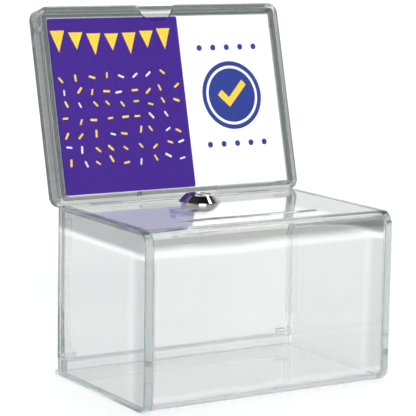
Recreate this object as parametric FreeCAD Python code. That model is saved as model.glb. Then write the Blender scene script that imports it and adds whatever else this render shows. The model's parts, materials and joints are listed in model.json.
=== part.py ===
import FreeCAD, Part
import math
import os

# Clear lockable ballot box with a leaning card header. All lengths are in millimetres.
# The origin is the middle of the base. +X is to the right seen from the front,
# +Y runs to the rear and +Z is up.

# Box of bent sheet with flat ends
box_width = 160.0
box_depth = 100.0
box_height = 98.0
wrap_sheet = 3.0
bend_radius = 8.0
rear_lip = 3.4
side_sheet = 5.0

# Ballot slot in the top
slot_length = 88.0
slot_width = 4.8
slot_setback = 24.0

# Rear sill, corner posts and door
sill_depth = 8.6
sill_height = 6.6
post_width = 3.2
post_depth = 4.5
post_headroom = 3.5
door_sheet = 4.0
door_side_gap = 0.4
door_head_gap = 0.5
door_foot_gap = 0.4
door_stop_gap = 0.1
hinge_pin_diameter = 2.0
hinge_pin_hold = 8.0
hinge_pin_recess = 0.2
hinge_running_gap = 0.05

# Keeper on the door for the lock's hook
keeper_width = 18.0
keeper_depth = 6.0
keeper_shelf_height = 5.4
keeper_post_width = 6.0
keeper_post_depth = 2.4
keeper_cam_gap = 0.6
keeper_head_gap = 0.3

# Header tray that leans back
header_width = 162.4
header_height = 114.0
header_depth = 10.7
header_lean_deg = 14.5
header_setback = 3.0
header_corner_radius = 6.5
header_wall = 2.5
header_back_sheet = 2.5
header_rest_width = 52.0
header_nub_height = 3.0
header_nub_drop = 10.5
header_rib_width = 2.0
header_rib_spread = 100.0
header_rib_end_room = 4.0
header_seat_gap = 0.3
lug_width = 20.0
lug_spread = 100.0
lug_depth = 2.6
lug_side_gap = 0.3
lug_front_gap = 0.2

# Header window and card
window_sheet = 2.5
window_gap = 0.3
notch_chord = 24.8
notch_depth = 10.0
notch_shift = 3.2
card_thickness = 0.5
card_side_room = 3.7
card_head_room = 6.6
card_foot_height = 5.8
card_foot_gap = 0.1
card_side_gap = 0.5
card_front_gap = 0.2
card_rear_gap = 0.3

# Lock head, body and fixings
lock_setback = 22.0
lock_head_diameter = 24.4
lock_face_diameter = 16.8
lock_head_height = 4.5
lock_head_rim = 0.7
lock_body_diameter = 17.6
lock_body_flats = 15.2
lock_body_tail = 0.2
lock_hole_gap = 0.2
lock_washer_diameter = 22.0
lock_washer_sheet = 0.6
lock_nut_wall = 1.7
lock_nut_height = 2.0
lock_thread_gap = 0.1

# Lock plug, tumblers and hook
plug_diameter = 11.5
plug_collar_diameter = 13.2
plug_collar_height = 1.0
plug_face_recess = 0.3
plug_running_gap = 0.05
plug_drive = 6.0
plug_drive_gap = 0.05
plug_collar_gap = 0.1
keyway_width = 2.0
keyway_length = 7.6
keyway_floor = 0.4
wafer_count = 4
wafer_sheet = 0.8
wafer_pitch = 1.2
wafer_gap = 0.05
wafer_width = 6.2
wafer_reach = 10.6
wafer_offset = 0.4
wafer_window_width = 2.8
wafer_window_length = 6.4
wafer_lift_step = 0.3
wafer_tab_width = 0.7
wafer_tab_length = 0.8
wafer_spring_diameter = 0.7
wafer_pocket_length = 6.0
wafer_groove_width = 7.0
wafer_groove_depth = 1.0
stop_washer_diameter = 13.0
stop_washer_sheet = 0.6
stop_washer_gap = 0.1
cam_sheet = 1.5
cam_hub_diameter = 11.6
cam_hook_gap = 0.3
cam_door_gap = 0.4
cam_hook_start_deg = 66.0
cam_arm_start_deg = 113.0
cam_arm_end_deg = 143.0
cam_rest_turn_deg = 90.0
screw_head_diameter = 7.2
screw_head_height = 1.4
screw_shank_diameter = 3.0
screw_shank_length = 4.6
screw_slot_width = 0.9
screw_slot_depth = 0.6
screw_thread_gap = 0.05

# One overrun serves every cut that runs out of its piece
overrun = 5.0

# Places worked out from the sizes above
x_right = box_width / 2
x_inner = x_right - side_sheet
y_front = -box_depth / 2
y_rear = box_depth / 2
z_under = box_height - wrap_sheet
y_slot = y_front + slot_setback
y_lock = y_rear - lock_setback
sill_top = wrap_sheet + sill_height
door_radius = door_sheet / 2
door_face = y_rear - door_sheet
y_hinge = y_rear - door_radius
z_hinge = sill_top + door_foot_gap + door_radius
door_top = z_under - door_head_gap
header_foot = y_rear - header_setback
header_floor = header_depth - header_back_sheet
header_half = header_width / 2
card_width = header_width - 2 * (header_wall + card_side_room)
card_half = card_width / 2
card_top = header_height - card_head_room
card_front = window_sheet + card_front_gap
card_pocket = card_front + card_thickness + card_rear_gap
z_lock_face = box_height + lock_head_height
lock_nut_flats = lock_body_diameter + 2 * lock_nut_wall
washer_low = z_under - lock_washer_sheet
nut_low = washer_low - lock_nut_height
body_low = nut_low - lock_body_tail
plug_top = z_lock_face - plug_face_recess
collar_low = plug_top - plug_collar_height
stop_high = body_low - stop_washer_gap
cam_high = stop_high - stop_washer_sheet
cam_low = cam_high - cam_sheet
keeper_front = door_face - keeper_depth
keeper_shelf_top = cam_low - keeper_cam_gap
keeper_post_rear = keeper_front + keeper_post_depth
hook_inner = math.hypot(keeper_post_width / 2, keeper_post_rear - y_lock) + cam_hook_gap
hook_outer = door_face - y_lock - cam_door_gap
wafer_top = collar_low - wafer_gap
wafer_low = wafer_top - wafer_count * wafer_pitch
keyway_low = wafer_low - keyway_floor

vector = FreeCAD.Vector
x_axis = vector(1, 0, 0)
y_axis = vector(0, 1, 0)
z_axis = vector(0, 0, 1)


def block(x_low, x_high, y_low, y_high, z_low, z_high):
    corner = vector(x_low, y_low, z_low)
    return Part.makeBox(x_high - x_low, y_high - y_low, z_high - z_low, corner)


def lock_cylinder(diameter, z_low, z_high):
    # a round piece on the lock's upright axis
    return Part.makeCylinder(diameter / 2, z_high - z_low, vector(0, y_lock, z_low), z_axis)


def lock_square(size, z_low, z_high):
    half = size / 2
    return block(-half, half, y_lock - half, y_lock + half, z_low, z_high)


def pin_along_x(diameter, x_low, x_high):
    return Part.makeCylinder(diameter / 2, x_high - x_low, vector(x_low, y_hinge, z_hinge), x_axis)


def circle_point(radius, angle_deg, y_centre, z_centre):
    angle = math.radians(angle_deg)
    return vector(0, y_centre + radius * math.cos(angle), z_centre + radius * math.sin(angle))


def side_arc(radius, start_deg, end_deg, y_centre, z_centre):
    middle_deg = (start_deg + end_deg) / 2
    points = [circle_point(radius, a, y_centre, z_centre) for a in (start_deg, middle_deg, end_deg)]
    return Part.Arc(*points).toShape()


def line(start, end):
    return Part.LineSegment(start, end).toShape()


def rounded_front(y_low, y_high, z_low, z_high, radius, x_low, x_high):
    # a bar across the box whose two front edges are rounded, seen from the side
    y_centre = y_low + radius
    foot = side_arc(radius, 270, 180, y_centre, z_low + radius)
    head = side_arc(radius, 180, 90, y_centre, z_high - radius)
    rear_foot = vector(0, y_high, z_low)
    rear_head = vector(0, y_high, z_high)
    edges = [
        line(rear_foot, vector(0, y_centre, z_low)),
        foot,
        line(vector(0, y_low, z_low + radius), vector(0, y_low, z_high - radius)),
        head,
        line(vector(0, y_centre, z_high), rear_head),
        line(rear_head, rear_foot),
    ]
    bar = Part.Face(Part.Wire(edges)).extrude(vector(x_high - x_low, 0, 0))
    bar.translate(vector(x_low, 0, 0))
    return bar


def rounded_plate(half_width, v_low, v_high, w_low, w_high, radius):
    # a header sheet with four rounded corners, before it leans back
    plate = block(-half_width, half_width, w_low, w_high, v_low, v_high)
    corners = [e for e in plate.Edges if e.Vertexes[0].Point.y != e.Vertexes[1].Point.y]
    return plate.makeFillet(radius, corners)


def lean_back(shape):
    # header pieces are drawn upright at the origin and then take their place
    leaning = shape.copy()
    leaning.rotate(vector(0, 0, 0), x_axis, -header_lean_deg)
    leaning.translate(vector(0, header_foot, box_height))
    return leaning


def mirrored_pair(make_right):
    right = make_right()
    return right.mirror(vector(0, 0, 0), x_axis), right


def lug_places():
    return [side * lug_spread / 2 for side in (-1, 1)]


def make_slot_cut():
    straight = slot_length / 2 - slot_width / 2
    half = slot_width / 2
    z_low = z_under - overrun
    height = wrap_sheet + 2 * overrun
    cut = block(-straight, straight, y_slot - half, y_slot + half, z_low, z_low + height)
    for side in (-1, 1):
        end = vector(side * straight, y_slot, z_low)
        cut = cut.fuse(Part.makeCylinder(half, height, end, z_axis))
    return cut


def flatted_bar(diameter, flats, z_low, z_high):
    half = flats / 2
    bar = lock_cylinder(diameter, z_low, z_high)
    return bar.common(block(-half, half, y_lock - diameter, y_lock + diameter, z_low, z_high))


def make_lip(x_low, x_high):
    # the bottom runs on a little behind the door
    return block(x_low, x_high, y_rear, y_rear + rear_lip, 0, wrap_sheet)


def make_body_wrap():
    inner_radius = bend_radius - wrap_sheet
    wrap = rounded_front(y_front, y_rear, 0, box_height, bend_radius, -x_inner, x_inner)
    hollow = rounded_front(
        y_front + wrap_sheet, y_rear + overrun, wrap_sheet, z_under, inner_radius,
        -x_inner - overrun, x_inner + overrun)
    wrap = wrap.cut(hollow)
    wrap = wrap.fuse(make_lip(-x_inner, x_inner))
    wrap = wrap.cut(make_slot_cut())
    hole = lock_body_diameter + 2 * lock_hole_gap
    hole_flats = lock_body_flats + 2 * lock_hole_gap
    wrap = wrap.cut(flatted_bar(hole, hole_flats, z_under - overrun, box_height + overrun))
    for place in lug_places():
        half = lug_width / 2 + lug_side_gap
        mouth = y_rear - lug_depth - lug_front_gap
        wrap = wrap.cut(block(
            place - half, place + half, mouth, y_rear + overrun,
            z_under - overrun, box_height + overrun))
    return wrap.removeSplitter()


def make_right_side():
    # the flat end closes the wrap and has the same rounds and lip
    side = rounded_front(y_front, y_rear, 0, box_height, bend_radius, x_inner, x_right)
    side = side.fuse(make_lip(x_inner, x_right))
    bore = hinge_pin_diameter + 2 * hinge_running_gap
    return side.cut(pin_along_x(bore, x_inner - overrun, x_right + overrun)).removeSplitter()


def make_sill_rail():
    return block(-x_inner, x_inner, y_rear - sill_depth, y_rear, wrap_sheet, sill_top)


def make_right_post():
    rear = door_face - door_stop_gap
    return block(x_inner - post_width, x_inner, rear - post_depth, rear, sill_top, z_under - post_headroom)


def make_rear_door():
    half = x_inner - door_side_gap
    door = block(-half, half, door_face, y_rear, z_hinge, door_top)
    door = door.fuse(pin_along_x(door_sheet, -half, half))
    for side in (-1, 1):
        end = side * half
        inside = end - side * hinge_pin_hold
        door = door.cut(pin_along_x(hinge_pin_diameter, min(end, inside), max(end, inside)))
    return door.removeSplitter()


def make_right_pin():
    inside = x_inner - door_side_gap - hinge_pin_hold
    return pin_along_x(hinge_pin_diameter, inside, x_right - hinge_pin_recess)


def make_door_keeper():
    half = keeper_width / 2
    half_post = keeper_post_width / 2
    shelf = block(
        -half, half, keeper_front, door_face,
        keeper_shelf_top - keeper_shelf_height, keeper_shelf_top)
    post = block(
        -half_post, half_post, keeper_front, keeper_post_rear,
        keeper_shelf_top, body_low - keeper_head_gap)
    return shelf.fuse(post).removeSplitter()


def make_header_frame():
    inner_radius = header_corner_radius - header_wall
    inner_half = header_half - header_wall
    inner_top = header_height - header_wall
    frame = rounded_plate(header_half, 0, header_height, 0, header_depth, header_corner_radius)
    frame = frame.cut(rounded_plate(inner_half, header_wall, inner_top, -overrun, header_floor, inner_radius))
    rest_half = header_rest_width / 2
    rest_top = card_foot_height - card_foot_gap
    frame = frame.fuse(block(-rest_half, rest_half, window_sheet, header_floor, header_wall, rest_top))
    guide = card_half + card_side_gap
    nub_top = header_height - header_nub_drop
    nub_low = nub_top - header_nub_height
    rib_half = header_rib_width / 2
    for side in (-1, 1):
        near = side * guide
        far = side * inner_half
        frame = frame.fuse(block(
            min(near, far), max(near, far), window_sheet, header_floor, nub_low, nub_top))
        middle = side * header_rib_spread / 2
        frame = frame.fuse(block(
            middle - rib_half, middle + rib_half, card_pocket, header_floor,
            card_foot_height + header_rib_end_room, card_top - header_rib_end_room))
    # the card leaves through the top, in front of this wall
    frame = frame.cut(block(
        -guide, guide, -overrun, card_pocket, inner_top - window_gap, header_height + overrun))
    frame = lean_back(frame)
    # a level seat on the rear edge of the top sheet
    frame = frame.cut(block(
        -box_width, box_width, y_front, y_rear + header_seat_gap, z_under - overrun, box_height))
    for place in lug_places():
        half = lug_width / 2
        frame = frame.fuse(block(
            place - half, place + half, y_rear - lug_depth, y_rear, z_under, box_height))
    return frame.removeSplitter()


def make_header_window():
    inset = header_wall + window_gap
    window = rounded_plate(
        header_half - inset, inset, header_height - inset, 0, window_sheet, header_corner_radius - inset)
    tongue = card_half + card_side_gap - window_gap
    window = window.fuse(block(-tongue, tongue, 0, window_sheet, header_height - inset - header_wall, header_height))
    radius = (notch_chord ** 2 / 4 + notch_depth ** 2) / (2 * notch_depth)
    # the notch lies a little to the left
    centre = vector(-notch_shift, -overrun, header_height - notch_depth + radius)
    window = window.cut(Part.makeCylinder(radius, window_sheet + 2 * overrun, centre, y_axis))
    return lean_back(window.removeSplitter())


def make_header_card():
    card = block(
        -card_half, card_half, card_front, card_front + card_thickness,
        card_foot_height, card_top)
    return lean_back(card)


def make_lock_housing():
    cone_low = box_height + lock_head_rim
    cone = Part.makeCone(
        lock_head_diameter / 2, lock_face_diameter / 2, z_lock_face - cone_low,
        vector(0, y_lock, cone_low), z_axis)
    housing = cone.fuse(lock_cylinder(lock_head_diameter, box_height, cone_low))
    housing = housing.fuse(flatted_bar(lock_body_diameter, lock_body_flats, body_low, box_height))
    housing = housing.cut(lock_cylinder(
        plug_diameter + 2 * plug_running_gap, body_low - overrun, z_lock_face + overrun))
    counterbore = plug_collar_diameter + 2 * plug_running_gap
    housing = housing.cut(lock_cylinder(
        counterbore, collar_low - plug_collar_gap, z_lock_face + overrun))
    half = wafer_groove_width / 2
    reach = plug_diameter / 2 + wafer_groove_depth
    grooves = block(-half, half, y_lock - reach, y_lock + reach, wafer_low, wafer_top)
    return housing.cut(grooves).removeSplitter()


def make_lock_washer():
    washer = lock_cylinder(lock_washer_diameter, washer_low, z_under)
    bore = lock_body_diameter + 2 * lock_thread_gap
    return washer.cut(lock_cylinder(bore, washer_low - overrun, z_under + overrun))


def make_lock_nut():
    corner = lock_nut_flats / 2 / math.cos(math.pi / 6)
    turns = [math.radians(60 * step) for step in range(7)]
    points = [vector(corner * math.cos(a), y_lock + corner * math.sin(a), nut_low) for a in turns]
    nut = Part.Face(Part.makePolygon(points)).extrude(vector(0, 0, lock_nut_height))
    bore = lock_body_diameter + 2 * lock_thread_gap
    return nut.cut(lock_cylinder(bore, nut_low - overrun, washer_low + overrun))


def wafer_heights():
    # the lower face of each tumbler, from the top one down
    return [wafer_top - (step + 1) * wafer_pitch + wafer_gap for step in range(wafer_count)]


def wafer_edges():
    left = -wafer_width / 2 - wafer_offset
    return left, left + wafer_width


def make_lock_plug():
    plug = lock_cylinder(plug_diameter, body_low, plug_top)
    plug = plug.fuse(lock_cylinder(plug_collar_diameter, collar_low, plug_top))
    plug = plug.fuse(lock_square(plug_drive, cam_low, body_low))
    half_width = keyway_width / 2
    half_length = keyway_length / 2
    plug = plug.cut(block(
        -half_width, half_width, y_lock - half_length, y_lock + half_length,
        keyway_low, plug_top + overrun))
    left, right = wafer_edges()
    half_pocket = wafer_pocket_length / 2
    for low in wafer_heights():
        floor = low - wafer_gap
        ceiling = low + wafer_sheet + wafer_gap
        plug = plug.cut(block(
            left - wafer_gap, right + wafer_gap, y_lock - plug_diameter, y_lock + plug_diameter,
            floor, ceiling))
        plug = plug.cut(block(
            right, right + wafer_tab_width + 2 * wafer_gap, y_lock - half_pocket, y_lock + half_pocket,
            floor, ceiling))
    bore = screw_shank_diameter + 2 * screw_thread_gap
    plug = plug.cut(lock_cylinder(bore, cam_low - overrun, cam_low + screw_shank_length + screw_thread_gap))
    return plug.removeSplitter()


def make_wafer(step):
    low = wafer_heights()[step]
    high = low + wafer_sheet
    left, right = wafer_edges()
    half_reach = wafer_reach / 2
    lift = wafer_lift_step * (step - (wafer_count - 1) / 2)
    half_window = wafer_window_length / 2
    half_gap = wafer_window_width / 2
    wafer = block(left, right, y_lock - half_reach, y_lock + half_reach, low, high)
    wafer = wafer.fuse(block(right, right + wafer_tab_width, y_lock, y_lock + wafer_tab_length, low, high))
    window = block(
        -half_gap, half_gap, y_lock - half_window + lift, y_lock + half_window + lift,
        low - overrun, high + overrun)
    # the ends follow the plug's round, so that it can turn
    wafer = wafer.common(lock_cylinder(plug_diameter - 2 * wafer_gap, low, high))
    return wafer.cut(window).removeSplitter()


def make_wafer_springs():
    right = wafer_edges()[1]
    middle = right + wafer_gap + wafer_tab_width / 2
    half_pocket = wafer_pocket_length / 2
    springs = []
    for low in wafer_heights():
        start = vector(middle, y_lock - half_pocket, low + wafer_sheet / 2)
        springs.append(Part.makeCylinder(wafer_spring_diameter / 2, half_pocket, start, y_axis))
    return Part.makeCompound(springs)


def make_stop_washer():
    washer = lock_cylinder(stop_washer_diameter, cam_high, stop_high)
    drive = plug_drive + 2 * plug_drive_gap
    return washer.cut(lock_square(drive, cam_high - overrun, stop_high + overrun))


def lock_point(radius, angle_deg):
    angle = math.radians(angle_deg)
    return vector(radius * math.cos(angle), y_lock + radius * math.sin(angle), cam_low)


def lock_arc(radius, start_deg, end_deg):
    middle_deg = (start_deg + end_deg) / 2
    points = [lock_point(radius, a) for a in (start_deg, middle_deg, end_deg)]
    return Part.Arc(*points).toShape()


def make_lock_cam():
    # the hook reaches round behind the keeper post when the plug is turned to lock
    centre = vector(0, y_lock, cam_low)
    edges = [
        line(centre, lock_point(hook_inner, cam_arm_start_deg)),
        lock_arc(hook_inner, cam_arm_start_deg, cam_hook_start_deg),
        line(lock_point(hook_inner, cam_hook_start_deg), lock_point(hook_outer, cam_hook_start_deg)),
        lock_arc(hook_outer, cam_hook_start_deg, cam_arm_end_deg),
        line(lock_point(hook_outer, cam_arm_end_deg), centre),
    ]
    hook = Part.Face(Part.Wire(edges)).extrude(vector(0, 0, cam_sheet))
    cam = hook.fuse(lock_cylinder(cam_hub_diameter, cam_low, cam_high))
    drive = plug_drive + 2 * plug_drive_gap
    cam = cam.cut(lock_square(drive, cam_low - overrun, cam_high + overrun)).removeSplitter()
    cam.rotate(centre, z_axis, cam_rest_turn_deg)
    return cam


def make_cam_screw():
    head_low = cam_low - screw_head_height
    screw = lock_cylinder(screw_head_diameter, head_low, cam_low)
    screw = screw.fuse(lock_cylinder(screw_shank_diameter, cam_low, cam_low + screw_shank_length))
    half = screw_slot_width / 2
    slot = block(
        -screw_head_diameter, screw_head_diameter, y_lock - half, y_lock + half,
        head_low - overrun, head_low + screw_slot_depth)
    return screw.cut(slot).removeSplitter()


def make_all():
    left_side, right_side = mirrored_pair(make_right_side)
    left_post, right_post = mirrored_pair(make_right_post)
    left_pin, right_pin = mirrored_pair(make_right_pin)
    pieces = {
        "body_wrap": make_body_wrap(),
        "left_side": left_side,
        "right_side": right_side,
        "sill_rail": make_sill_rail(),
        "left_post": left_post,
        "right_post": right_post,
        "rear_door": make_rear_door(),
        "hinge_pin_left": left_pin,
        "hinge_pin_right": right_pin,
        "door_keeper": make_door_keeper(),
        "header_frame": make_header_frame(),
        "header_window": make_header_window(),
        "header_card": make_header_card(),
        "lock_housing": make_lock_housing(),
        "lock_washer": make_lock_washer(),
        "lock_nut": make_lock_nut(),
        "lock_plug": make_lock_plug(),
        "wafer_springs": make_wafer_springs(),
        "cam_stop_washer": make_stop_washer(),
        "lock_cam": make_lock_cam(),
        "cam_screw": make_cam_screw(),
    }
    for step in range(wafer_count):
        pieces["wafer_%d" % (step + 1)] = make_wafer(step)
    return pieces


os.makedirs("parts", exist_ok=True)
for name, shape in make_all().items():
    shape.exportStep("parts/%s.step" % name)
    print(name, "solids", len(shape.Solids), "valid", shape.isValid(), "volume", round(shape.Volume, 2))
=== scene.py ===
import bpy
import bmesh
import json
import math
import random
from mathutils import Matrix, Vector


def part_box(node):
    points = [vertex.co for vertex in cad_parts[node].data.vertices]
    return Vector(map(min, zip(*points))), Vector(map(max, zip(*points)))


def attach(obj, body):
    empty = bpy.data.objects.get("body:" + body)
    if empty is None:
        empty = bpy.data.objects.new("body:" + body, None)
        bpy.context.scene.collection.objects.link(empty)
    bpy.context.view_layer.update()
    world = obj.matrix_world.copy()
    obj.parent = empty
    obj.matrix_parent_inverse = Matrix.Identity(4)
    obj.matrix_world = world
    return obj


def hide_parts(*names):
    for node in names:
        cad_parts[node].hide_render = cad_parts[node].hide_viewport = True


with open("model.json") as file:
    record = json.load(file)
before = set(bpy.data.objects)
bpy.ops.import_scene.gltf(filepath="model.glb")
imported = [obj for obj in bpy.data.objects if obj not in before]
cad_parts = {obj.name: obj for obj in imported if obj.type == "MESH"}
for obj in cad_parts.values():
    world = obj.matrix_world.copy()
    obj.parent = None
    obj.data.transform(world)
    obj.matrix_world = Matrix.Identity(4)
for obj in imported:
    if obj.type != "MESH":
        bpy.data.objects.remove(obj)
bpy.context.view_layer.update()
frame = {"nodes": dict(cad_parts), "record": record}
scene = bpy.context.scene
bodyOf = {node: body for body, nodes in frame["record"]["behaviour"]["bodies"].items() for node in nodes}


# mesh helpers, all in metres
cutting = dict(past=0.01, boreSteps=24)  # cutters run on past the piece
easing = dict(weld=1e-6, flatDeg=0.6, sharpDeg=38, segments=3, smallSegments=2, flatWeight=100)


def linkPiece(name, bm):
    bmesh.ops.recalc_face_normals(bm, faces=bm.faces)
    mesh = bpy.data.meshes.new(name)
    bm.to_mesh(mesh)
    bm.free()
    piece = bpy.data.objects.new(name, mesh)
    scene.collection.objects.link(piece)
    return piece


def addPrism(bm, outline, axis, low, high):
    # outline is a loop of pairs in the two other axes, taken in x, y, z order
    def place(pair, along):
        point = list(pair)
        point.insert("xyz".index(axis), along)
        return point

    rings = [[bm.verts.new(place(pair, along)) for pair in outline] for along in (low, high)]
    bm.faces.new(rings[0])
    bm.faces.new(rings[1])
    count = len(outline)
    for i in range(count):
        j = (i + 1) % count
        bm.faces.new((rings[0][i], rings[0][j], rings[1][j], rings[1][i]))


def prismPiece(name, outline, axis, low, high):
    bm = bmesh.new()
    addPrism(bm, outline, axis, low, high)
    return linkPiece(name, bm)


def boxOutline(aLow, aHigh, bLow, bHigh):
    return [(aLow, bLow), (aHigh, bLow), (aHigh, bHigh), (aLow, bHigh)]


def arcPoints(centre, radius, startDeg, endDeg, steps):
    angles = [math.radians(startDeg + (endDeg - startDeg) * i / steps) for i in range(steps + 1)]
    return [(centre[0] + radius * math.cos(a), centre[1] + radius * math.sin(a)) for a in angles]


def circleOutline(centre, radius, steps):
    return arcPoints(centre, radius, 0, 360, steps)[:-1]


def roundedOutline(aLow, aHigh, bLow, bHigh, radius, steps):
    corners = [
        ((aHigh - radius, bLow + radius), -90), ((aHigh - radius, bHigh - radius), 0),
        ((aLow + radius, bHigh - radius), 90), ((aLow + radius, bLow + radius), 180)]
    points = []
    for centre, start in corners:
        points += arcPoints(centre, radius, start, start + 90, steps)
    return points


def bakeModifiers(piece):
    bpy.context.view_layer.update()
    graph = bpy.context.evaluated_depsgraph_get()
    shaped = bpy.data.meshes.new_from_object(piece.evaluated_get(graph))
    piece.modifiers.clear()
    piece.data = shaped
    return piece


def combine(piece, tool, operation):
    step = piece.modifiers.new("combine", "BOOLEAN")
    step.object = tool
    step.operation = operation
    step.solver = "EXACT"
    bakeModifiers(piece)
    bpy.data.objects.remove(tool)
    return piece


def cutFrom(piece, outline, axis, low, high):
    return combine(piece, prismPiece("cutter", outline, axis, low, high), "DIFFERENCE")


def joinTo(piece, outline, axis, low, high):
    return combine(piece, prismPiece("adder", outline, axis, low, high), "UNION")


def easeEdges(piece, width, segments=easing["segments"], sharpDeg=easing["sharpDeg"]):
    # the small round that moulding and flame polishing leave on every edge
    bm = bmesh.new()
    bm.from_mesh(piece.data)
    bmesh.ops.remove_doubles(bm, verts=bm.verts, dist=easing["weld"])
    flat = math.radians(easing["flatDeg"])
    bmesh.ops.dissolve_limit(bm, angle_limit=flat, verts=bm.verts, edges=bm.edges)
    for face in bm.faces:
        face.smooth = True
    bm.to_mesh(piece.data)
    bm.free()
    bevel = piece.modifiers.new("ease", "BEVEL")
    bevel.width = width
    bevel.segments = segments
    bevel.limit_method = "ANGLE"
    bevel.angle_limit = math.radians(sharpDeg)
    bevel.use_clamp_overlap = True
    # large faces decide the normals, so flats stay flat and rounds stay smooth
    piece.modifiers.new("level", "WEIGHTED_NORMAL").weight = easing["flatWeight"]
    return bakeModifiers(piece)


def copyOfNode(name, node):
    mesh = frame["nodes"][node].data.copy()
    mesh.materials.clear()
    piece = bpy.data.objects.new(name, mesh)
    scene.collection.objects.link(piece)
    return piece


def lathe(name, profile, centre, steps):
    # profile is a closed loop of (radius, height) pairs, none of them on the axis
    bm = bmesh.new()
    rings = []
    for i in range(steps):
        angle = 2 * math.pi * i / steps
        c, n = math.cos(angle), math.sin(angle)
        rings.append([bm.verts.new((centre[0] + r * c, centre[1] + r * n, z)) for r, z in profile])
    for i in range(steps):
        here, there = rings[i], rings[(i + 1) % steps]
        for k in range(len(profile)):
            n = (k + 1) % len(profile)
            bm.faces.new((here[k], there[k], there[n], here[n]))
    return linkPiece(name, bm)


def fit(piece, body, slot, material, *nodes):
    if material:
        piece.data.materials.append(material)
    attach(piece, body)
    if nodes:
        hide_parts(*nodes)
    return piece


# material helpers

def addNode(tree, kind, inputs=None, **settings):
    node = tree.nodes.new(kind)
    for key, value in settings.items():
        setattr(node, key, value)
    for label, value in (inputs or {}).items():
        node.inputs[label].default_value = value
    return node


def newGroup(name, inputs, outputs):
    tree = bpy.data.node_groups.new(name, "ShaderNodeTree")
    for label, kind, value in inputs:
        socket = tree.interface.new_socket(name=label, in_out="INPUT", socket_type=kind)
        socket.default_value = value
    for label, kind in outputs:
        tree.interface.new_socket(name=label, in_out="OUTPUT", socket_type=kind)
    return tree, addNode(tree, "NodeGroupInput"), addNode(tree, "NodeGroupOutput")


def feed(tree, value, socket):
    # a socket takes another socket's link or a plain value
    if hasattr(value, "links"):
        tree.links.new(value, socket)
    else:
        socket.default_value = value


def mathNode(tree, operation, first, second=0):
    node = addNode(tree, "ShaderNodeMath", operation=operation)
    feed(tree, first, node.inputs[0])
    feed(tree, second, node.inputs[1])
    return node.outputs[0]


def blendRamp(tree, low, high, dark, light):
    ramp = addNode(tree, "ShaderNodeValToRGB")
    stops = ramp.color_ramp.elements
    for stop, position, colour in ((stops[0], low, dark), (stops[1], high, light)):
        stop.position = position
        stop.color = (*colour, 1)
    return ramp


handlingLook = dict(
    clean=0.03, worn=0.12, smudgeScale=60.0, smudgeDetail=4, smudgeRange=(0.52, 0.8),
    scuffScale=900.0, scuffDetail=2, scuffRange=(0.66, 0.76), scuffShare=0.8,
    scuffTurn=(0.3, 0.5, 0.7), scuffStretch=(1.0, 0.06, 0.16))


def buildHandling():
    # hairline scuffs and soft smudges from handling: a roughness and a bump height
    s = handlingLook
    tree, entry, leave = newGroup(
        "handling",
        [("Clean", "NodeSocketFloat", s["clean"]), ("Worn", "NodeSocketFloat", s["worn"]),
         ("Smudge Scale", "NodeSocketFloat", s["smudgeScale"]),
         ("Scuff Scale", "NodeSocketFloat", s["scuffScale"])],
        [("Roughness", "NodeSocketFloat"), ("Height", "NodeSocketFloat")])
    link = tree.links.new
    coords = addNode(tree, "ShaderNodeTexCoord")
    smudge = addNode(tree, "ShaderNodeTexNoise", {"Detail": s["smudgeDetail"]})
    stretch = addNode(tree, "ShaderNodeMapping", {"Rotation": s["scuffTurn"], "Scale": s["scuffStretch"]})
    scuff = addNode(tree, "ShaderNodeTexNoise", {"Detail": s["scuffDetail"]})
    link(coords.outputs["Object"], smudge.inputs["Vector"])
    link(coords.outputs["Object"], stretch.inputs["Vector"])
    link(stretch.outputs["Vector"], scuff.inputs["Vector"])
    link(entry.outputs["Smudge Scale"], smudge.inputs["Scale"])
    link(entry.outputs["Scuff Scale"], scuff.inputs["Scale"])
    masks = []
    for noise, (low, high) in ((smudge, s["smudgeRange"]), (scuff, s["scuffRange"])):
        mask = addNode(tree, "ShaderNodeMapRange", {"From Min": low, "From Max": high})
        link(noise.outputs["Fac"], mask.inputs["Value"])
        masks.append(mask.outputs["Result"])
    soft, hair = masks
    both = mathNode(tree, "MAXIMUM", soft, mathNode(tree, "MULTIPLY", hair, s["scuffShare"]))
    rough = addNode(tree, "ShaderNodeMapRange")
    link(both, rough.inputs["Value"])
    link(entry.outputs["Clean"], rough.inputs["To Min"])
    link(entry.outputs["Worn"], rough.inputs["To Max"])
    link(rough.outputs["Result"], leave.inputs["Roughness"])
    link(hair, leave.inputs["Height"])
    return tree


handling = buildHandling()

shadeAndJointBandLook = dict(
    fade=0.003, cloudScale=22, cloudDetail=2, cloudMean=0.5, lineAt=0.35, lineRange=(0.8, 0.1),
    haze=(0.990, 0.993, 0.992))


# a grey band painted into a clear sheet's colour, with a painted highlight line where it ends: painted
# shade on the box and the header, and on the bars the greyer cement joint at their foot, without a line
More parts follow.
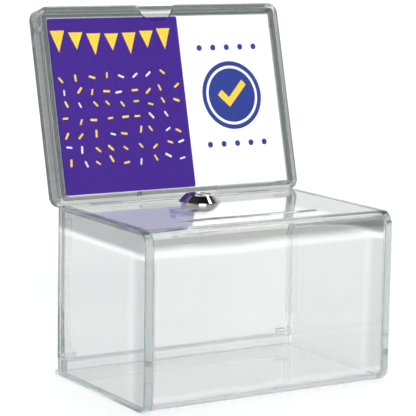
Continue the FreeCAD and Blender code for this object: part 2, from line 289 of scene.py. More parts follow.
def buildShadeAndJointBand():
    # a moulding is thicker and greyer along its border, with a clear line where that ends
    s = shadeAndJointBandLook
    white = (1, 1, 1, 1)
    tree, entry, leave = newGroup(
        "shadeAndJointBand",
        [("Tint", "NodeSocketColor", white), ("Shade", "NodeSocketColor", white),
         ("Depth", "NodeSocketFloat", -1.0), ("Fade", "NodeSocketFloat", s["fade"]),
         ("Line", "NodeSocketFloat", 0.0)],
        [("Colour", "NodeSocketColor")])
    link = tree.links.new
    fade = entry.outputs["Fade"]
    coords = addNode(tree, "ShaderNodeTexCoord")
    cloud = addNode(tree, "ShaderNodeTexNoise", {"Scale": s["cloudScale"], "Detail": s["cloudDetail"]})
    link(coords.outputs["Object"], cloud.inputs["Vector"])
    # the band's edge wanders a little with the noise
    stray = mathNode(tree, "SUBTRACT", cloud.outputs["Fac"], s["cloudMean"])
    wander = mathNode(tree, "MULTIPLY", stray, fade)
    share = mathNode(tree, "DIVIDE", mathNode(tree, "ADD", entry.outputs["Depth"], wander), fade)
    band = addNode(tree, "ShaderNodeMapRange", interpolation_type="SMOOTHSTEP")
    link(share, band.inputs["Value"])
    grey = addNode(tree, "ShaderNodeMix", data_type="RGBA")
    link(band.outputs["Result"], grey.inputs["Factor"])
    link(entry.outputs["Tint"], grey.inputs["A"])
    link(entry.outputs["Shade"], grey.inputs["B"])
    # painted highlight: the colour goes to white along a line at the band's edge
    far, near = s["lineRange"]
    line = addNode(
        tree, "ShaderNodeMapRange", {"From Min": far, "From Max": near}, interpolation_type="SMOOTHSTEP")
    link(mathNode(tree, "ABSOLUTE", mathNode(tree, "ADD", share, s["lineAt"])), line.inputs["Value"])
    bright = addNode(tree, "ShaderNodeMix", {"B": white}, data_type="RGBA")
    highlightShare = mathNode(tree, "MULTIPLY", line.outputs["Result"], entry.outputs["Line"])
    link(highlightShare, bright.inputs["Factor"])
    link(grey.outputs["Result"], bright.inputs["A"])
    haze = addNode(tree, "ShaderNodeMix", {"B": (*s["haze"], 1)}, data_type="RGBA", blend_type="MULTIPLY")
    link(cloud.outputs["Fac"], haze.inputs["Factor"])
    link(bright.outputs["Result"], haze.inputs["A"])
    link(haze.outputs["Result"], leave.inputs["Colour"])
    return tree


shadeAndJointBand = buildShadeAndJointBand()


def principled(name):
    material = bpy.data.materials.new(name)
    material.use_nodes = True
    return material, material.node_tree, material.node_tree.nodes["Principled BSDF"]


clearLook = {
    # the wrap has its own faint tint; the front wall painted greyer than the top, grey bands at its right,
    # left and lower edges and under the top bend, and their lines are painted shade and painted highlights
    "sheet": dict(tint=(0.990, 0.990, 0.989), density=4.0, ripple=0.00012, steps=[
        dict(zone="wall", shade=(0.852, 0.852, 0.848), fade=0.0006, line=0.0),
        dict(zone="flank", shade=(0.755, 0.760, 0.755), fade=0.0040, line=0.3),
        dict(zone="seam", shade=(0.66, 0.665, 0.66), fade=0.0015, line=0.3),
        dict(zone="base", shade=(0.50, 0.51, 0.53), fade=0.0030, line=0.6),
        dict(zone="front", shade=(0.53, 0.53, 0.525), fade=0.0040, line=1.0)]),
    # the ends are painted greyer than the wrap and the right end less grey than the left, with grey bands
    # by the left front corner and along the top and their lines: painted shade and painted highlights
    "side": dict(tint=(0.800, 0.818, 0.816), density=16.0, ripple=0.00012, steps=[
        dict(zone="right", shade=(0.910, 0.918, 0.917), fade=0.0100, line=0.0),
        dict(zone="corner", shade=(0.650, 0.667, 0.665), fade=0.0048, line=0.4),
        dict(zone="end", shade=(0.42, 0.44, 0.44), fade=0.0026, line=1.0)]),
    "bar": dict(tint=(0.986, 0.988, 0.988), density=14.0, ripple=0.0001, steps=[
        dict(zone="weld", shade=(0.90, 0.91, 0.91), fade=0.0010, line=0.0)]),
    # the window and the tray are painted darker round the card, darkest in the tray's walls and lighter
    # along the foot and the window's ledge, with a painted highlight line at the walls' inner edge: painted
    # shade
    "window": dict(tint=(0.984, 0.986, 0.986), density=14.0, ripple=0.0, steps=[
        dict(zone="rim", shade=(0.34, 0.36, 0.36), fade=0.0004, line=0.0),
        dict(zone="ledge", shade=(0.60, 0.62, 0.61), fade=0.0004, line=0.0)]),
    "tray": dict(tint=(0.960, 0.965, 0.964), density=5.0, ripple=0.0, steps=[
        dict(zone="well", shade=(0.52, 0.54, 0.54), fade=0.0004, line=0.0),
        dict(zone="frame", shade=(0.22, 0.235, 0.235), fade=0.0008, line=1.0),
        dict(zone="foot", shade=(0.54, 0.56, 0.55), fade=0.0006, line=0.0)]),
}
clearCommon = dict(
    ior=1.55, worn=0.012, absorb=(0.72, 0.765, 0.755), lampTint=(0.95, 0.96, 0.96),
    rippleScale=18.0, rippleDetail=1, rippleStrength=0.3)
# where the bands on the box begin: painted shade on the sheets, and the bars' cement joint up to weldHigh;
# the sharp values give a band a hard start
boxZones = dict(
    frontY=-0.0462, frontSharp=100, frontBand=(0.0865, 0.0985),
    flankX=0.0645, seamX=-0.0728, baseHigh=0.0066, weldHigh=0.0085,
    cornerY=-0.0354, cornerSharp=20, endY=-0.0492, endBand=(0.0846, 0.0985))
# up is the way that the header leans; its frames of painted shade are half width, low, high and the top
# where they stop
headerZones = dict(
    up=(0, 0.25038, 0.968148), start=0.106647, footHigh=0.0026, ledgeHigh=0.0056,
    rim=(0.0752, 0.0056, 0.1076, 0.1113), well=(0.0700, 0.0056, 0.1060, 0.2),
    frame=(0.0787, 0.0025, 0.1115, 0.2))


def shadeAndJointDepth(tree, zone):
    # how far a point lies inside its band of painted shade or of the bars' joint, in metres
    s, h = boxZones, headerZones
    coords = addNode(tree, "ShaderNodeTexCoord")
    split = addNode(tree, "ShaderNodeSeparateXYZ")
    tree.links.new(coords.outputs["Object"], split.inputs["Vector"])
    x, y, z = [split.outputs[axis] for axis in "XYZ"]

    def less(first, second):
        return mathNode(tree, "SUBTRACT", first, second)

    def nearest(first, second):
        return mathNode(tree, "MINIMUM", first, second)

    def furthest(first, second):
        return mathNode(tree, "MAXIMUM", first, second)

    def bandDepth(low, high):
        return nearest(less(z, low), less(high, z))

    if zone == "right":
        return x
    if zone == "weld":
        return less(s["weldHigh"], z)
    if zone == "corner":
        # the right end's corner is left out
        inside = less(s["cornerY"], mathNode(tree, "ADD", y, furthest(x, 0)))
        return nearest(inside, mathNode(tree, "MULTIPLY", less(y, s["endY"]), s["cornerSharp"]))
    if zone == "end":
        return nearest(bandDepth(*s["endBand"]), less(y, s["endY"]))
    if zone in ("wall", "flank", "seam", "base", "front"):
        inFront = less(s["frontY"], y)
        if zone == "wall":
            return inFront
        if zone == "flank":
            inside = less(x, s["flankX"])
        elif zone == "seam":
            inside = less(s["seamX"], x)
        elif zone == "base":
            inside = less(s["baseHigh"], z)
        else:
            inside = bandDepth(*s["frontBand"])
        return nearest(inside, mathNode(tree, "MULTIPLY", inFront, s["frontSharp"]))
    # the header's zones are measured up its lean
    along = addNode(tree, "ShaderNodeVectorMath", operation="DOT_PRODUCT")
    tree.links.new(coords.outputs["Object"], along.inputs[0])
    along.inputs[1].default_value = h["up"]
    height = less(along.outputs["Value"], h["start"])
    if zone in ("foot", "ledge"):
        return less(h[zone + "High"], height)
    half, low, high, top = h[zone]
    pastEnds = furthest(less(height, high), less(low, height))
    outside = furthest(pastEnds, less(mathNode(tree, "ABSOLUTE", x), half))
    return nearest(outside, less(top, height))


def buildClear(name, look):
    material, tree, shader = principled(name)
    s = clearCommon
    link = tree.links.new
    shader.inputs["Metallic"].default_value = 0
    shader.inputs["Transmission Weight"].default_value = 1
    shader.inputs["IOR"].default_value = s["ior"]
    wear = addNode(tree, "ShaderNodeGroup", {"Clean": 0, "Worn": s["worn"]}, node_tree=handling)
    link(wear.outputs["Roughness"], shader.inputs["Roughness"])
    tint = (*look["tint"], 1)
    shader.inputs["Base Color"].default_value = tint
    under = None
    # each step mixes its grey band and its highlight line into the colour under it; every step but the
    # bars' weld is painted shade, and the lines are painted highlights
    for step in look["steps"]:
        values = {"Tint": tint, "Shade": (*step["shade"], 1), "Fade": step["fade"], "Line": step["line"]}
        tone = addNode(tree, "ShaderNodeGroup", values, node_tree=shadeAndJointBand)
        link(shadeAndJointDepth(tree, step["zone"]), tone.inputs["Depth"])
        if under:
            link(under.outputs["Colour"], tone.inputs["Tint"])
        link(tone.outputs["Colour"], shader.inputs["Base Color"])
        under = tone
    # the slow waviness of a moulded or heat-bent sheet
    coords = addNode(tree, "ShaderNodeTexCoord")
    wave = addNode(tree, "ShaderNodeTexNoise", {"Scale": s["rippleScale"], "Detail": s["rippleDetail"]})
    link(coords.outputs["Object"], wave.inputs["Vector"])
    bump = addNode(tree, "ShaderNodeBump", {"Distance": look["ripple"], "Strength": s["rippleStrength"]})
    link(wave.outputs["Fac"], bump.inputs["Height"])
    link(bump.outputs["Normal"], shader.inputs["Normal"])
    # lamps shine through the clear sheets
    output = tree.nodes["Material Output"]
    rays = addNode(tree, "ShaderNodeLightPath")
    passing = addNode(tree, "ShaderNodeBsdfTransparent", {"Color": (*s["lampTint"], 1)})
    mix = addNode(tree, "ShaderNodeMixShader")
    link(rays.outputs["Is Shadow Ray"], mix.inputs["Fac"])
    link(shader.outputs["BSDF"], mix.inputs[1])
    link(passing.outputs["BSDF"], mix.inputs[2])
    link(mix.outputs["Shader"], output.inputs["Surface"])
    body = addNode(
        tree, "ShaderNodeVolumeAbsorption", {"Color": (*s["absorb"], 1), "Density": look["density"]})
    link(body.outputs["Volume"], output.inputs["Volume"])
    return material


clear = {name: buildClear("clear" + name.capitalize(), look) for name, look in clearLook.items()}

metalLook = {
    "chrome": dict(metallic=1.0, colour=(0.52, 0.525, 0.52), clean=0.03, worn=0.14, bump=0.000004),
    # the plug is the head's chrome painted darker: painted shade on the lock's face
    "paintedDarkChromePlug": dict(metallic=1.0, colour=(0.26, 0.265, 0.265), clean=0.10, worn=0.26, bump=0.000006),
    "steel": dict(metallic=0.3, colour=(0.88, 0.88, 0.89), clean=0.40, worn=0.56, bump=0.000010),
    "brass": dict(metallic=1.0, colour=(0.72, 0.55, 0.26), clean=0.22, worn=0.42, bump=0.000010),
}
metalCommon = dict(smudgeScale=260, scuffScale=2600, tarnishScale=420, tarnishRange=(0.3, 0.7), tarnish=0.9)


def buildMetal(name, look):
    material, tree, shader = principled(name)
    s = metalCommon
    link = tree.links.new
    # a dull zinc coat is only partly metal to the eye
    shader.inputs["Metallic"].default_value = look["metallic"]
    values = {
        "Clean": look["clean"], "Worn": look["worn"],
        "Smudge Scale": s["smudgeScale"], "Scuff Scale": s["scuffScale"]}
    wear = addNode(tree, "ShaderNodeGroup", values, node_tree=handling)
    link(wear.outputs["Roughness"], shader.inputs["Roughness"])
    # plating tarnishes a little in patches
    coords = addNode(tree, "ShaderNodeTexCoord")
    cloud = addNode(tree, "ShaderNodeTexNoise", {"Scale": s["tarnishScale"]})
    link(coords.outputs["Object"], cloud.inputs["Vector"])
    dull = [c * s["tarnish"] for c in look["colour"]]
    ramp = blendRamp(tree, *s["tarnishRange"], dull, look["colour"])
    link(cloud.outputs["Fac"], ramp.inputs["Fac"])
    link(ramp.outputs["Color"], shader.inputs["Base Color"])
    bump = addNode(tree, "ShaderNodeBump", {"Distance": look["bump"]})
    link(wear.outputs["Height"], bump.inputs["Height"])
    link(bump.outputs["Normal"], shader.inputs["Normal"])
    return material


metals = {name: buildMetal(name, look) for name, look in metalLook.items()}

inkLook = {
    "cardStock": dict(colour=(0.90, 0.90, 0.91), dark=(0.84, 0.84, 0.86), rough=0.42),
    "violetInk": dict(colour=(0.046, 0.008, 0.240), dark=(0.040, 0.006, 0.215), rough=0.34),
    "yellowInk": dict(colour=(0.92, 0.62, 0.055), dark=(0.84, 0.54, 0.045), rough=0.34),
    "paleInk": dict(colour=(0.78, 0.70, 0.86), dark=(0.70, 0.62, 0.80), rough=0.36),
    "blueInk": dict(colour=(0.018, 0.042, 0.270), dark=(0.015, 0.035, 0.230), rough=0.34),
}
inkCommon = dict(
    mottleScale=700, mottleDetail=6, mottleRange=(0.35, 0.62), fibreScale=5200, smoother=0.06, rougher=0.08,
    specular=0.2, bump=0.00002, bumpStrength=0.4)


def buildInk(name, look):
    # coated card: fine fibre under the ink, and the ink's own mottle
    material, tree, shader = principled(name)
    s = inkCommon
    link = tree.links.new
    coords = addNode(tree, "ShaderNodeTexCoord")
    mottle = addNode(tree, "ShaderNodeTexNoise", {"Scale": s["mottleScale"], "Detail": s["mottleDetail"]})
    fibre = addNode(tree, "ShaderNodeTexNoise", {"Scale": s["fibreScale"]})
    link(coords.outputs["Object"], mottle.inputs["Vector"])
    link(coords.outputs["Object"], fibre.inputs["Vector"])
    ramp = blendRamp(tree, *s["mottleRange"], look["dark"], look["colour"])
    link(mottle.outputs["Fac"], ramp.inputs["Fac"])
    link(ramp.outputs["Color"], shader.inputs["Base Color"])
    smooth, coarse = look["rough"] - s["smoother"], look["rough"] + s["rougher"]
    rough = addNode(tree, "ShaderNodeMapRange", {"To Min": smooth, "To Max": coarse})
    link(fibre.outputs["Fac"], rough.inputs["Value"])
    link(rough.outputs["Result"], shader.inputs["Roughness"])
    shader.inputs["Specular IOR Level"].default_value = s["specular"]
    bump = addNode(tree, "ShaderNodeBump", {"Distance": s["bump"], "Strength": s["bumpStrength"]})
    link(fibre.outputs["Fac"], bump.inputs["Height"])
    link(bump.outputs["Normal"], shader.inputs["Normal"])
    return material


inks = {name: buildInk(name, look) for name, look in inkLook.items()}
print("materials ready:", len(bpy.data.materials))


# the bent sheet: bottom, front and top in one, with the slot and the lock hole
wrap = dict(
    half=0.07495, front=-0.050, rear=0.050, lip=0.0534, height=0.098, sheet=0.003, bend=0.008, bendSteps=16,
    slotHalf=0.044, slotWide=0.0048, slotY=-0.026, slotSteps=12,
    lockY=0.028, holeRadius=0.009, holeHalf=0.0078, holeSteps=20,
    lugX=0.050, lugHalf=0.0103, lugMouth=0.0472, ease=0.0004)


def bentOutline():
    # from the rear of the top, round the front and along the bottom to its lip
    s = wrap
    y = s["front"] + s["bend"]
    outline = [(s["rear"], s["height"])]
    outline += arcPoints((y, s["height"] - s["bend"]), s["bend"], 90, 180, s["bendSteps"])
    outline += arcPoints((y, s["bend"]), s["bend"], 180, 270, s["bendSteps"])
    return outline + [(s["lip"], 0), (s["lip"], s["sheet"])]


def buildWrap():
    s = wrap
    inner = s["bend"] - s["sheet"]
    y = s["front"] + s["bend"]
    outline = bentOutline()
    outline += arcPoints((y, s["bend"]), inner, 270, 180, s["bendSteps"])
    outline += arcPoints((y, s["height"] - s["bend"]), inner, 180, 90, s["bendSteps"])
    outline += [(s["rear"], s["height"] - s["sheet"])]
    piece = prismPiece("clear_wrap", outline, "x", -s["half"], s["half"])
    zLow, zHigh = s["height"] - cutting["past"], s["height"] + cutting["past"]
    radius = s["slotWide"] / 2
    end = s["slotHalf"] - radius
    slot = arcPoints((end, s["slotY"]), radius, -90, 90, s["slotSteps"])
    slot += arcPoints((-end, s["slotY"]), radius, 90, 270, s["slotSteps"])
    cutFrom(piece, slot, "z", zLow, zHigh)
    lean = math.degrees(math.acos(s["holeHalf"] / s["holeRadius"]))
    hole = arcPoints((0, s["lockY"]), s["holeRadius"], lean, 180 - lean, s["holeSteps"])
    hole += arcPoints((0, s["lockY"]), s["holeRadius"], 180 + lean, 360 - lean, s["holeSteps"])
    cutFrom(piece, hole, "z", zLow, zHigh)
    for side in (-1, 1):
        x = side * s["lugX"]
        mouth = boxOutline(x - s["lugHalf"], x + s["lugHalf"], s["lugMouth"], s["rear"] + cutting["past"])
        cutFrom(piece, mouth, "z", zLow, zHigh)
    return easeEdges(piece, s["ease"])


fit(buildWrap(), "box", "clear_sheet", clear["sheet"], "body_wrap")


# flat ends that close the wrap, with the bore of the hinge pin
ends = dict(outer=0.080, inner=0.075, boreY=0.048, boreZ=0.012, bore=0.00105, ease=0.0009)


def buildEnd(name, side):
    s = ends
    outline = bentOutline() + [(wrap["rear"], wrap["sheet"])]
    low, high = sorted((side * s["outer"], side * s["inner"]))
    piece = prismPiece(name, outline, "x", low, high)
    bore = circleOutline((s["boreY"], s["boreZ"]), s["bore"], cutting["boreSteps"])
    cutFrom(piece, bore, "x", low - cutting["past"], high + cutting["past"])
    return easeEdges(piece, s["ease"])


fit(buildEnd("clear_left_end", -1), "box", "clear_sheet", clear["side"], "left_side")
fit(buildEnd("clear_right_end", 1), "box", "clear_sheet", clear["side"], "right_side")


# rear bars, each a hair short of the sheet that it is welded to
bars = dict(joint=0.00006, ease=0.0004)


def buildBar(name, node):
    low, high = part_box(node)
    gap = bars["joint"]
    outline = boxOutline(low.x + gap, high.x - gap, low.y + gap, high.y - gap)
    return easeEdges(prismPiece(name, outline, "z", low.z + gap, high.z - gap), bars["ease"])


fit(buildBar("clear_sill", "sill_rail"), "box", "clear_sheet", clear["bar"], "sill_rail")
fit(buildBar("clear_left_post", "left_post"), "box", "clear_sheet", clear["bar"], "left_post")
fit(buildBar("clear_right_post", "right_post"), "box", "clear_sheet", clear["bar"], "right_post")


# door with a round foot that turns on two pins, and the keeper that the hook goes behind
door = dict(
    half=0.0746, face=0.046, rear=0.050, axisY=0.048, axisZ=0.012, radius=0.002, footSteps=20, top=0.0945,
    pinHold=0.008, pinBore=0.00106, ease=0.0004, pinEase=0.00025, keeperEase=0.00035)


def buildDoor():
    s = door
    axis = (s["axisY"], s["axisZ"])
    outline = [(s["rear"], s["top"]), (s["face"], s["top"])]
    outline += arcPoints(axis, s["radius"], 180, 360, s["footSteps"])
    piece = prismPiece("clear_door", outline, "x", -s["half"], s["half"])
    for side in (-1, 1):
        x = sorted((side * (s["half"] - s["pinHold"]), side * (s["half"] + cutting["past"])))
        cutFrom(piece, circleOutline(axis, s["pinBore"], cutting["boreSteps"]), "x", *x)
    return easeEdges(piece, s["ease"])


fit(buildDoor(), "door", "clear_sheet", clear["bar"], "rear_door")
for side in ("left", "right"):
    pinNode = "hinge_pin_" + side
    pin = easeEdges(copyOfNode("clear_pin_" + side, pinNode), door["pinEase"])
    fit(pin, bodyOf[pinNode], "clear_sheet", clear["bar"], pinNode)


def buildKeeper():
    # its rear stays a hair off the door's face
    piece = copyOfNode("clear_keeper", "door_keeper")
    rear = door["face"] - bars["joint"]
    for vertex in piece.data.vertices:
        vertex.co.y = min(vertex.co.y, rear)
    return easeEdges(piece, door["keeperEase"])


fit(buildKeeper(), "door", "clear_sheet", clear["bar"], "door_keeper")
print("box and door built")


# header tray, drawn upright at the origin and then leaned back on the rear of the top
header = dict(
    half=0.0812, height=0.1140, depth=0.0107, wall=0.0025, floor=0.0082, corner=0.0065, cornerSteps=12,
    leanDeg=-14.5, foot=(0, 0.047, 0.098), restHalf=0.026, restTop=0.0057, guide=0.0755, pocket=0.0035,
    nubLow=0.1005, nubHigh=0.1035, ribX=0.050, ribHalf=0.001, ribLow=0.0098, ribHigh=0.1034,
    window=0.0025, windowGap=0.00004, slack=0.0003, bite=0.0004,
    seatZ=0.09806, seatY=0.0503, seatReach=0.1, seatLow=0.08,
    lugX=0.050, lugHalf=0.010, lugFront=0.0474, lugRear=0.050, lugLow=0.095, ease=0.0004)


def leanBack(piece):
    turn = Matrix.Rotation(math.radians(header["leanDeg"]), 4, "X")
    piece.data.transform(Matrix.Translation(Vector(header["foot"])) @ turn)
    return piece


def buildTray():
    s = header
    steps, bite = s["cornerSteps"], s["bite"]
    inner = s["half"] - s["wall"]
    innerTop = s["height"] - s["wall"]
    outline = roundedOutline(-s["half"], s["half"], 0, s["height"], s["corner"], steps)
    piece = prismPiece("clear_header", outline, "y", 0, s["depth"])
    well = roundedOutline(-inner, inner, s["wall"], innerTop, s["corner"] - s["wall"], steps)
    cutFrom(piece, well, "y", -cutting["past"], s["floor"])

    def addBlock(xLow, xHigh, zLow, zHigh, front):
        # blocks stand on the tray's floor and bite into what they touch
        joinTo(piece, boxOutline(xLow, xHigh, zLow, zHigh), "y", front, s["floor"] + bite)

    front = s["window"] + s["windowGap"]
    addBlock(-s["restHalf"], s["restHalf"], s["wall"] - bite, s["restTop"], front)
    for side in (-1, 1):
        nub = sorted((side * s["guide"], side * (inner + bite)))
        addBlock(*nub, s["nubLow"], s["nubHigh"], front)
        x = side * s["ribX"]
        addBlock(x - s["ribHalf"], x + s["ribHalf"], s["ribLow"], s["ribHigh"], s["pocket"])
    mouth = boxOutline(-s["guide"], s["guide"], innerTop - s["slack"], s["height"] + cutting["past"])
    cutFrom(piece, mouth, "y", -cutting["past"], s["pocket"])
    leanBack(piece)
    seat = boxOutline(-s["seatReach"], s["seatReach"], 0, s["seatY"])
    cutFrom(piece, seat, "z", s["seatLow"], s["seatZ"])
    for side in (-1, 1):
        x = side * s["lugX"]
        lug = boxOutline(x - s["lugHalf"], x + s["lugHalf"], s["lugFront"], s["lugRear"])
        joinTo(piece, lug, "z", s["lugLow"], s["seatZ"] + bite)
    return easeEdges(piece, s["ease"])


pane = dict(
    half=0.0784, low=0.0028, high=0.1112, sheet=0.00246, corner=0.0037, cornerSteps=10, tongueHalf=0.0752,
    top=0.1140, notchX=-0.0032, notchRadius=0.012688, notchZ=0.116688, notchSteps=80, ease=0.0003)


def buildPane():
    s = pane
    x = s["half"] - s["corner"]
    outline = arcPoints((x, s["low"] + s["corner"]), s["corner"], -90, 0, s["cornerSteps"])
    outline += arcPoints((x, s["high"] - s["corner"]), s["corner"], 0, 90, s["cornerSteps"])
    outline = [p for p in outline if p[1] < s["high"] - easing["weld"]]
    outline += [(s["tongueHalf"], s["high"]), (s["tongueHalf"], s["top"])]
    outline += [(-a, b) for a, b in reversed(outline)]
    piece = prismPiece("clear_window", outline, "y", 0, s["sheet"])
    notch = circleOutline((s["notchX"], s["notchZ"]), s["notchRadius"], s["notchSteps"])
    cutFrom(piece, notch, "y", -cutting["past"], cutting["past"])
    return easeEdges(leanBack(piece), s["ease"])


fit(buildTray(), "box", "clear_moulding", clear["tray"], "header_frame")
fit(buildPane(), "box", "clear_moulding", clear["window"], "header_window")
print("header built")


# card stock, white where the print leaves it bare
card = dict(
    half=0.075, low=0.0058, high=0.1074, front=0.0027, rear=0.0032, corner=0.0012, cornerSteps=5,
    ease=0.00008)


def buildCard():
    s = card
    outline = roundedOutline(-s["half"], s["half"], s["low"], s["high"], s["corner"], s["cornerSteps"])
    piece = leanBack(prismPiece("header_card_stock", outline, "y", s["front"], s["rear"]))
    return easeEdges(piece, s["ease"], easing["smallSegments"])


# the print: a violet field with bunting and confetti, and a badge with a tick between rows of dots
inkLayers = dict(
    thick=0.000012, lift=0.000001, order=["violetInk", "yellowInk", "paleInk", "blueInk", "cardStock"])
field = dict(right=0.0107, inset=0.0001)
bunting = dict(
    count=7, startX=-0.069, pitch=0.0116, half=0.0046, longDrop=0.0125, shortDrop=0.0100, sag=0.0030,
    top=0.1010)
confetti = dict(
    seed=11, rows=7, columns=9, startX=-0.0690, startZ=0.0240, pitchX=0.0092, pitchZ=0.0082,
    strayX=0.0016, strayZ=0.0014, margin=0.005, size=(0.0008, 0.0011), long=2.1, wide=0.6, round=0.58,
    roundSteps=4, yellow=0.7)
badge = dict(
    centre=(0.0430, 0.0590), steps=56,
    rings=[(0.0205, "blueInk"), (0.0178, "cardStock"), (0.0162, "blueInk")],
    tick=[(-0.0098, 0.0004), (-0.0068, 0.0034), (-0.0022, -0.0012),
          (0.0078, 0.0090), (0.0106, 0.0060), (-0.0022, -0.0070)])
dots = dict(count=5, startX=0.0240, pitch=0.0095, rows=(0.0300, 0.0880), radius=0.0018, steps=20)


def turned(outline, centre, angle):
    c, n = math.cos(angle), math.sin(angle)
    return [(centre[0] + a * c - b * n, centre[1] + a * n + b * c) for a, b in outline]


# each patch is an outline, its ink and the layer that it lies on
def fieldPatches():
    s, inset = card, field["inset"]
    outline = roundedOutline(
        -s["half"] + inset, field["right"], s["low"] + inset, s["high"] - inset,
        s["corner"], s["cornerSteps"])
    return [(outline, "violetInk", 1)]


def buntingPatches():
    s = bunting
    patches = []
    for i in range(s["count"]):
        x = s["startX"] + i * s["pitch"]
        z = s["top"] - s["sag"] * math.sin(math.pi * (i + 0.5) / s["count"])
        drop = s["longDrop"] if i % 2 == 0 else s["shortDrop"]
        patches.append(([(x - s["half"], z), (x, z - drop), (x + s["half"], z)], "yellowInk", 2))
    return patches


def confettiPatches():
    s = confetti
    rng = random.Random(s["seed"])
    patches = []
    for row in range(s["rows"]):
        for column in range(s["columns"]):
            x = s["startX"] + column * s["pitchX"] + rng.uniform(-s["strayX"], s["strayX"])
            z = s["startZ"] + row * s["pitchZ"] + rng.uniform(-s["strayZ"], s["strayZ"])
            if x > field["right"] - s["margin"]:
                continue
            size = rng.uniform(*s["size"])
            long, wide = size * s["long"], size * s["wide"]
            pill = roundedOutline(-long, long, -wide, wide, size * s["round"], s["roundSteps"])
            outline = turned(pill, (x, z), rng.uniform(0, math.pi))
            patches.append((outline, "yellowInk" if rng.random() < s["yellow"] else "paleInk", 2))
    return patches


def badgePatches():
    s = badge
    patches = []
    for layer, (radius, ink) in enumerate(s["rings"], 2):
        patches.append((circleOutline(s["centre"], radius, s["steps"]), ink, layer))
    tick = [(s["centre"][0] + a, s["centre"][1] + b) for a, b in s["tick"]]
    return patches + [(tick, "yellowInk", 2 + len(s["rings"]))]


def dotPatches():
    s = dots
    patches = []
    for i in range(s["count"]):
        x = s["startX"] + i * s["pitch"]
        for z in s["rows"]:
            patches.append((circleOutline((x, z), s["radius"], s["steps"]), "blueInk", 2))
    return patches


def buildPrint():
    s = inkLayers
    bm = bmesh.new()
    patches = fieldPatches() + buntingPatches() + confettiPatches() + badgePatches() + dotPatches()
    for outline, ink, layer in patches:
        first = len(bm.faces)
        near = card["front"] - s["thick"] * layer
        addPrism(bm, outline, "y", near, card["front"] - s["lift"])
        bm.faces.ensure_lookup_table()
        for face in bm.faces[first:]:
            face.material_index = s["order"].index(ink)
    piece = leanBack(linkPiece("header_card_print", bm))
    for ink in s["order"]:
        piece.data.materials.append(inks[ink])
    return piece


fit(buildCard(), "card", "printed_card", inks["cardStock"], "header_card")
fit(buildPrint(), "card", "printed_card", None)
print("card built")


# lock head: a wide cone on a body with two flats
lock = dict(
    centre=(0, 0.028), low=0.0922, seat=0.098, seatGap=0.00003, rim=0.0987, face=0.1025, headRadius=0.0122,
    faceRadius=0.0084, bodyRadius=0.0088, bodyHalf=0.0076, flatReach=0.02, bore=0.0058, counterbore=0.00665,
    counterLow=0.1011, steps=96, ease=0.00028, sharpDeg=30)


def buildLockHead():
    s = lock
    seat = s["seat"] + s["seatGap"]
    profile = [
        (s["bore"], s["low"]), (s["bodyRadius"], s["low"]), (s["bodyRadius"], seat),
        (s["headRadius"], seat), (s["headRadius"], s["rim"]), (s["faceRadius"], s["face"]),
        (s["counterbore"], s["face"]), (s["counterbore"], s["counterLow"]), (s["bore"], s["counterLow"])]
    piece = lathe("lock_head", profile, s["centre"], s["steps"])
    y, reach = s["centre"][1], s["flatReach"]
    for side in (-1, 1):
        x = sorted((side * s["bodyHalf"], side * reach))
        cutFrom(piece, boxOutline(*x, y - reach, y + reach), "z", s["low"] - cutting["past"], s["seat"])
    return easeEdges(piece, s["ease"], easing["segments"], s["sharpDeg"])


fit(buildLockHead(), "box", "chrome", metals["chrome"], "lock_housing")

# small hidden fittings keep their solids, with the edges eased
fittings = {
    "lock_washer": ("steel", 0.0001), "lock_nut": ("steel", 0.00015), "cam_stop_washer": ("steel", 0.0001),
    "lock_cam": ("steel", 0.0002), "cam_screw": ("steel", 0.00015)}
for node, (finish, ease) in fittings.items():
    piece = easeEdges(copyOfNode(node + "_eased", node), ease, easing["smallSegments"])
    fit(piece, bodyOf[node], finish, metals[finish], node)
# the plug and its tumblers keep their own meshes
finishes = {"lock_plug": "paintedDarkChromePlug", "wafer_springs": "steel"}
for node, piece in frame["nodes"].items():
    if node == "lock_plug" or node.startswith("wafer"):
        piece.data.materials.clear()
        piece.data.materials.append(metals[finishes.get(node, "brass")])
print("lock built")


# pale floor, a hair under the box, that glows a little where it is seen
stage = dict(
    left=-0.42, right=6.0, front=-0.54, rear=14.0, drop=0.00005, colour=(0.90, 0.90, 0.90), rough=0.9,
    specular=0.1, lift=0.20)


def buildFloor():
    s = stage
    bm = bmesh.new()
    corners = boxOutline(s["left"], s["right"], s["front"], s["rear"])
    bm.faces.new([bm.verts.new((x, y, -s["drop"])) for x, y in corners])
    piece = linkPiece("floor", bm)
    material, tree, shader = principled("paleFloor")
    shader.inputs["Base Color"].default_value = (*s["colour"], 1)
    shader.inputs["Roughness"].default_value = s["rough"]
    shader.inputs["Specular IOR Level"].default_value = s["specular"]
    shader.inputs["Emission Color"].default_value = (1, 1, 1, 1)
    rays = addNode(tree, "ShaderNodeLightPath")
    seen = mathNode(tree, "MAXIMUM", rays.outputs["Is Camera Ray"], rays.outputs["Is Glossy Ray"])
    seen = mathNode(tree, "MAXIMUM", seen, rays.outputs["Is Transmission Ray"])
    tree.links.new(mathNode(tree, "MULTIPLY", seen, s["lift"]), shader.inputs["Emission Strength"])
    piece.data.materials.append(material)


buildFloor()

# white surroundings; pairs are for mirrors and for glass, but topRange is a low and a high
worldLook = dict(
    fill=0.76, backdrop=1.0, frontFrom=(-0.35, -0.70), frontTo=(0.15, -0.35), front=(0.12, 0.18),
    top=(0.05, 0.95), topRange=(0.40, 0.75))


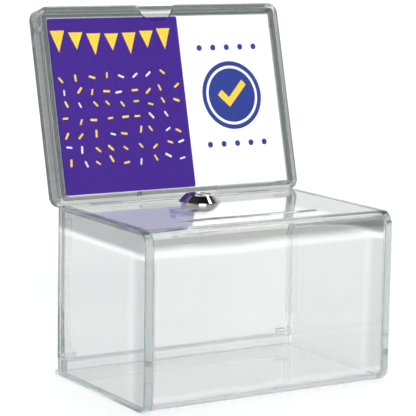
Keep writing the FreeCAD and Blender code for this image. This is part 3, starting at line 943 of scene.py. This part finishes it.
def buildWorld():
    s = worldLook
    world = bpy.data.worlds.new("studio")
    scene.world = world
    world.use_nodes = True
    tree = world.node_tree
    link = tree.links.new
    tree.nodes.clear()
    output = addNode(tree, "ShaderNodeOutputWorld")
    coords = addNode(tree, "ShaderNodeTexCoord")
    split = addNode(tree, "ShaderNodeSeparateXYZ")
    link(coords.outputs["Generated"], split.inputs["Vector"])
    rays = addNode(tree, "ShaderNodeLightPath")
    through = rays.outputs["Is Transmission Ray"]

    def pickValue(choice, first, second):
        node = addNode(tree, "ShaderNodeMix", data_type="FLOAT")
        link(choice, node.inputs["Factor"])
        feed(tree, first, node.inputs["A"])
        feed(tree, second, node.inputs["B"])
        return node.outputs["Result"]

    # white behind and at the sides, darker in front and overhead, most of all in mirrors
    front = addNode(tree, "ShaderNodeMapRange", {"To Max": s["backdrop"]}, interpolation_type="SMOOTHSTEP")
    for label, pair in (("From Min", s["frontFrom"]), ("From Max", s["frontTo"]), ("To Min", s["front"])):
        link(pickValue(through, *pair), front.inputs[label])
    link(split.outputs["Y"], front.inputs["Value"])
    low, high = s["topRange"]
    top = addNode(
        tree, "ShaderNodeMapRange", {"From Min": low, "From Max": high, "To Min": 1},
        interpolation_type="SMOOTHSTEP")
    link(pickValue(through, *s["top"]), top.inputs["To Max"])
    link(split.outputs["Z"], top.inputs["Value"])
    room = mathNode(tree, "MULTIPLY", front.outputs["Result"], top.outputs["Result"])
    seen = mathNode(tree, "MAXIMUM", rays.outputs["Is Glossy Ray"], through)
    indirect = pickValue(seen, s["fill"], room)
    strength = pickValue(rays.outputs["Is Camera Ray"], indirect, s["backdrop"])
    background = addNode(tree, "ShaderNodeBackground", {"Color": (1, 1, 1, 1)})
    link(strength, background.inputs["Strength"])
    link(background.outputs["Background"], output.inputs["Surface"])


buildWorld()

lamps = {
    "key": dict(towards=(-0.25, -0.90, 0.36), angleDeg=44, power=1.9),
    "high": dict(towards=(0.52, -0.17, 0.84), angleDeg=10, power=0.12),
}


def buildLamps():
    for name, s in lamps.items():
        light = bpy.data.lights.new(name, "SUN")
        light.energy = s["power"]
        light.angle = math.radians(s["angleDeg"])
        lamp = bpy.data.objects.new(name, light)
        lamp.location = Vector(s["towards"])
        lamp.rotation_euler = Vector(s["towards"]).to_track_quat("Z", "Y").to_euler()
        scene.collection.objects.link(lamp)


buildLamps()

view = dict(
    place=(-0.5651, -0.8983, 0.2665), yawDeg=-31.64, pitchDeg=80.99, rollDeg=0.89, lens=165.2, sensor=36.0,
    clipStart=0.01)


def buildCamera():
    s = view
    data = bpy.data.cameras.new("view")
    data.lens = s["lens"]
    data.sensor_width = s["sensor"]
    data.clip_start = s["clipStart"]
    camera = bpy.data.objects.new("view", data)
    yaw, pitch, roll = [math.radians(s[k]) for k in ("yawDeg", "pitchDeg", "rollDeg")]
    turn = Matrix.Rotation(yaw, 4, "Z") @ Matrix.Rotation(pitch, 4, "X") @ Matrix.Rotation(roll, 4, "Z")
    camera.matrix_world = Matrix.Translation(Vector(s["place"])) @ turn
    scene.collection.objects.link(camera)
    scene.camera = camera


buildCamera()
scene.view_settings.view_transform = "Standard"
# enough bounces for light that travels along inside the clear sheets
bounces = dict(light=120, transparent=24)
scene.cycles.max_bounces = bounces["light"]
scene.cycles.transmission_bounces = bounces["light"]
scene.cycles.glossy_bounces = bounces["light"]
scene.cycles.transparent_max_bounces = bounces["transparent"]
print("stage, lamps and camera ready")
